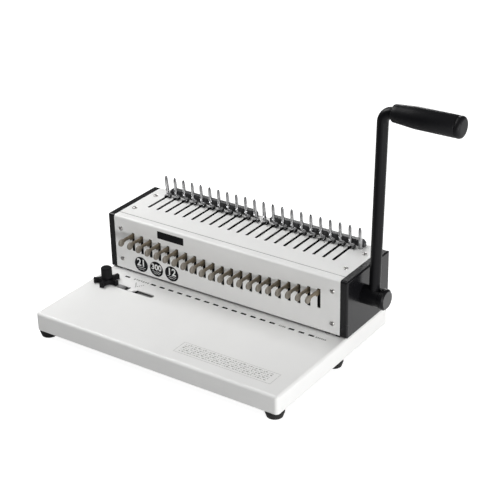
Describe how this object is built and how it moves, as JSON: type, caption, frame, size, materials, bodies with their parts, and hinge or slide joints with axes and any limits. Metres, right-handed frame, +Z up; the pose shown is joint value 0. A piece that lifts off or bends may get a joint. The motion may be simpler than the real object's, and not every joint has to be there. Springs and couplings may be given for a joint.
{
  "type": "comb binding machine",
  "caption": "Desk comb binding machine with a punch housing on a flat base, a row of pull tabs, a comb opener on top and a cranked hand lever at the right.",
  "frame": {"origin": "middle of the whole part's box, on the desk", "axes": "+X along the row of punches towards the lever, +Y to the back, +Z up"},
  "size_m": [0.482, 0.2554, 0.3279],
  "materials": {
    "white_paint": "satin powder coat",
    "black_plastic": "satin moulded",
    "black_paint": "satin paint",
    "grip_plastic": "matte moulded",
    "foot_rubber": "matte",
    "chromed_steel": "polished",
    "tab_steel": "satin stamped",
    "bright_steel": "ground",
    "dark_steel": "blackened",
    "bush_brass": "turned",
    "drawer_plastic": "matte moulded",
    "grey_plastic": "matte moulded",
    "white_plastic": "smooth moulded"
  },
  "bodies": {
    "frame": {"base_plate": "white_paint", "feet": "foot_rubber", "foot_screws": "bright_steel", "left_side_plate": "dark_steel", "right_side_plate": "dark_steel", "left_side_cover": "black_plastic", "right_side_cover": "black_plastic", "front_panel": "white_paint", "top_plate": "white_paint", "back_panel": "white_paint", "panel_screws": "bright_steel", "die_plate": "bright_steel", "guide_plate": "bright_steel", "throat_spacer": "bright_steel", "guide_posts": "bright_steel", "comb_fingers": "chromed_steel", "left_ring_rail": "black_plastic", "right_ring_rail": "black_plastic", "shaft_bushes": "bush_brass", "tie_bar": "bright_steel", "drawer_runners": "bright_steel", "guide_channel": "black_plastic", "return_springs": "bright_steel"},
    "opener": {"opener_sectors": "bright_steel"},
    "lever": {"main_shaft": "bright_steel", "press_cams": "dark_steel", "lever_hub": "black_paint", "lever_arm": "black_paint", "hand_grip": "grip_plastic"},
    "hook_carriage": {"hook_carriage": "dark_steel", "opener_hooks": "chromed_steel"},
    "punch_bar": {"punch_bar": "dark_steel", "punch_pins": "bright_steel"},
    "waste_drawer": {"waste_drawer": "drawer_plastic"},
    "edge_guide": {"guide_slider": "grey_plastic", "guide_pointer": "white_plastic", "guide_stop": "black_plastic"},
    "guide_knob": {"guide_knob": "black_plastic"},
    "pull_tab_01": {"pull_tab_01": "tab_steel"},
    "pull_tab_02": {"pull_tab_02": "tab_steel"},
    "pull_tab_03": {"pull_tab_03": "tab_steel"},
    "pull_tab_04": {"pull_tab_04": "tab_steel"},
    "pull_tab_05": {"pull_tab_05": "tab_steel"},
    "pull_tab_06": {"pull_tab_06": "tab_steel"},
    "pull_tab_07": {"pull_tab_07": "tab_steel"},
    "pull_tab_08": {"pull_tab_08": "tab_steel"},
    "pull_tab_09": {"pull_tab_09": "tab_steel"},
    "pull_tab_10": {"pull_tab_10": "tab_steel"},
    "pull_tab_11": {"pull_tab_11": "tab_steel"},
    "pull_tab_12": {"pull_tab_12": "tab_steel"},
    "pull_tab_13": {"pull_tab_13": "tab_steel"},
    "pull_tab_14": {"pull_tab_14": "tab_steel"},
    "pull_tab_15": {"pull_tab_15": "tab_steel"},
    "pull_tab_16": {"pull_tab_16": "tab_steel"},
    "pull_tab_17": {"pull_tab_17": "tab_steel"},
    "pull_tab_18": {"pull_tab_18": "tab_steel"},
    "pull_tab_19": {"pull_tab_19": "tab_steel"},
    "pull_tab_20": {"pull_tab_20": "tab_steel"},
    "pull_tab_21": {"pull_tab_21": "tab_steel"}
  },
  "joints": [
    {"name": "handle_push_back", "type": "hinge", "parent": "frame", "child": "opener", "pos_m": [-0.0573, 0.06675, 0.078], "axis": [1, 0, 0], "range_deg": [-48, 0]},
    {"name": "handle_pull", "type": "hinge", "parent": "opener", "child": "lever", "pos_m": [-0.0573, 0.06675, 0.078], "axis": [1, 0, 0], "range_deg": [0, 80.1]},
    {"name": "hook_travel", "type": "slide", "parent": "frame", "child": "hook_carriage", "axis": [0, -1, 0], "range_m": [0, 0.0285]},
    {"name": "punch_stroke", "type": "slide", "parent": "frame", "child": "punch_bar", "axis": [0, 0, -1], "range_m": [0, 0.0146], "stiffness_N_per_m": 8000, "springref_m": -0.006, "deforming": ["return_springs"]},
    {"name": "waste_drawer_slide", "type": "slide", "parent": "frame", "child": "waste_drawer", "axis": [0, 1, 0], "range_m": [0, 0.09]},
    {"name": "edge_guide_slide", "type": "slide", "parent": "frame", "child": "edge_guide", "axis": [1, 0, 0], "range_m": [0, 0.025]},
    {"name": "guide_knob_turn", "type": "hinge", "parent": "edge_guide", "child": "guide_knob", "pos_m": [-0.21527, -0.01425, 0.053], "axis": [0, 0, 1], "range_deg": [0, 270]},
    {"name": "pull_tab_01_slide", "type": "slide", "parent": "punch_bar", "child": "pull_tab_01", "axis": [0, -1, 0], "range_m": [0, 0.008]},
    {"name": "pull_tab_02_slide", "type": "slide", "parent": "punch_bar", "child": "pull_tab_02", "axis": [0, -1, 0], "range_m": [0, 0.008]},
    {"name": "pull_tab_03_slide", "type": "slide", "parent": "punch_bar", "child": "pull_tab_03", "axis": [0, -1, 0], "range_m": [0, 0.008]},
    {"name": "pull_tab_04_slide", "type": "slide", "parent": "punch_bar", "child": "pull_tab_04", "axis": [0, -1, 0], "range_m": [0, 0.008]},
    {"name": "pull_tab_05_slide", "type": "slide", "parent": "punch_bar", "child": "pull_tab_05", "axis": [0, -1, 0], "range_m": [0, 0.008]},
    {"name": "pull_tab_06_slide", "type": "slide", "parent": "punch_bar", "child": "pull_tab_06", "axis": [0, -1, 0], "range_m": [0, 0.008]},
    {"name": "pull_tab_07_slide", "type": "slide", "parent": "punch_bar", "child": "pull_tab_07", "axis": [0, -1, 0], "range_m": [0, 0.008]},
    {"name": "pull_tab_08_slide", "type": "slide", "parent": "punch_bar", "child": "pull_tab_08", "axis": [0, -1, 0], "range_m": [0, 0.008]},
    {"name": "pull_tab_09_slide", "type": "slide", "parent": "punch_bar", "child": "pull_tab_09", "axis": [0, -1, 0], "range_m": [0, 0.008]},
    {"name": "pull_tab_10_slide", "type": "slide", "parent": "punch_bar", "child": "pull_tab_10", "axis": [0, -1, 0], "range_m": [0, 0.008]},
    {"name": "pull_tab_11_slide", "type": "slide", "parent": "punch_bar", "child": "pull_tab_11", "axis": [0, -1, 0], "range_m": [0, 0.008]},
    {"name": "pull_tab_12_slide", "type": "slide", "parent": "punch_bar", "child": "pull_tab_12", "axis": [0, -1, 0], "range_m": [0, 0.008]},
    {"name": "pull_tab_13_slide", "type": "slide", "parent": "punch_bar", "child": "pull_tab_13", "axis": [0, -1, 0], "range_m": [0, 0.008]},
    {"name": "pull_tab_14_slide", "type": "slide", "parent": "punch_bar", "child": "pull_tab_14", "axis": [0, -1, 0], "range_m": [0, 0.008]},
    {"name": "pull_tab_15_slide", "type": "slide", "parent": "punch_bar", "child": "pull_tab_15", "axis": [0, -1, 0], "range_m": [0, 0.008]},
    {"name": "pull_tab_16_slide", "type": "slide", "parent": "punch_bar", "child": "pull_tab_16", "axis": [0, -1, 0], "range_m": [0, 0.008]},
    {"name": "pull_tab_17_slide", "type": "slide", "parent": "punch_bar", "child": "pull_tab_17", "axis": [0, -1, 0], "range_m": [0, 0.008]},
    {"name": "pull_tab_18_slide", "type": "slide", "parent": "punch_bar", "child": "pull_tab_18", "axis": [0, -1, 0], "range_m": [0, 0.008]},
    {"name": "pull_tab_19_slide", "type": "slide", "parent": "punch_bar", "child": "pull_tab_19", "axis": [0, -1, 0], "range_m": [0, 0.008]},
    {"name": "pull_tab_20_slide", "type": "slide", "parent": "punch_bar", "child": "pull_tab_20", "axis": [0, -1, 0], "range_m": [0, 0.008]},
    {"name": "pull_tab_21_slide", "type": "slide", "parent": "punch_bar", "child": "pull_tab_21", "axis": [0, -1, 0], "range_m": [0, 0.008]}
  ],
  "couplings": [
    {"joint": "hook_travel", "follows": "handle_push_back", "m_per_rad": -0.034},
    {"joint": "handle_pull", "follows": "punch_stroke", "rad_per_m": 95.634}
  ]
}
